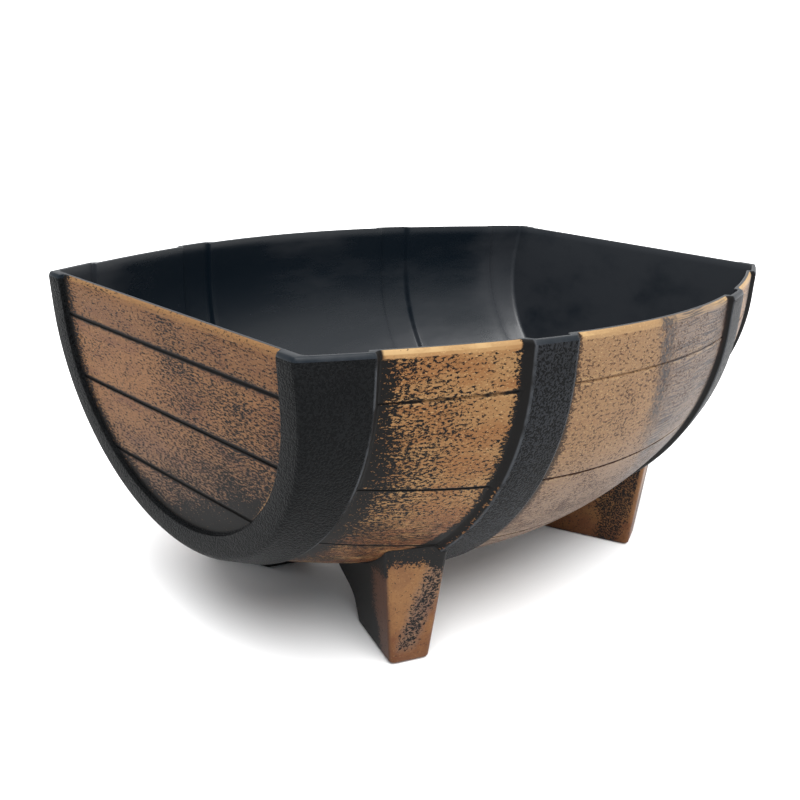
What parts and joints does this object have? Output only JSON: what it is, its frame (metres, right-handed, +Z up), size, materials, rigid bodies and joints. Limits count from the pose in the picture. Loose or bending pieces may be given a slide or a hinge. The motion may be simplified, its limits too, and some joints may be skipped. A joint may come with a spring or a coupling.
{
  "type": "half barrel planter",
  "caption": "Plant trough shaped as a barrel cut lengthways, with moulded staves and hoops, recessed plank heads, an open top and tapered push-on legs.",
  "frame": {"origin": "on the ground, below the middle of the planter", "axes": "+X along the barrel, +Y across it, +Z up"},
  "size_m": [0.3996, 0.2896, 0.179],
  "materials": {
    "tub_plastic": "charcoal black moulding, grained hoops and smooth inside, with copper brown paint brushed over the staves and the plank heads",
    "leg_plastic": "charcoal black moulding with copper brown paint brushed over it, black specks showing through"
  },
  "bodies": {
    "root": {"tub": "tub_plastic", "leg_front_left": "leg_plastic", "leg_front_right": "leg_plastic", "leg_back_left": "leg_plastic", "leg_back_right": "leg_plastic"}
  },
  "joints": []
}
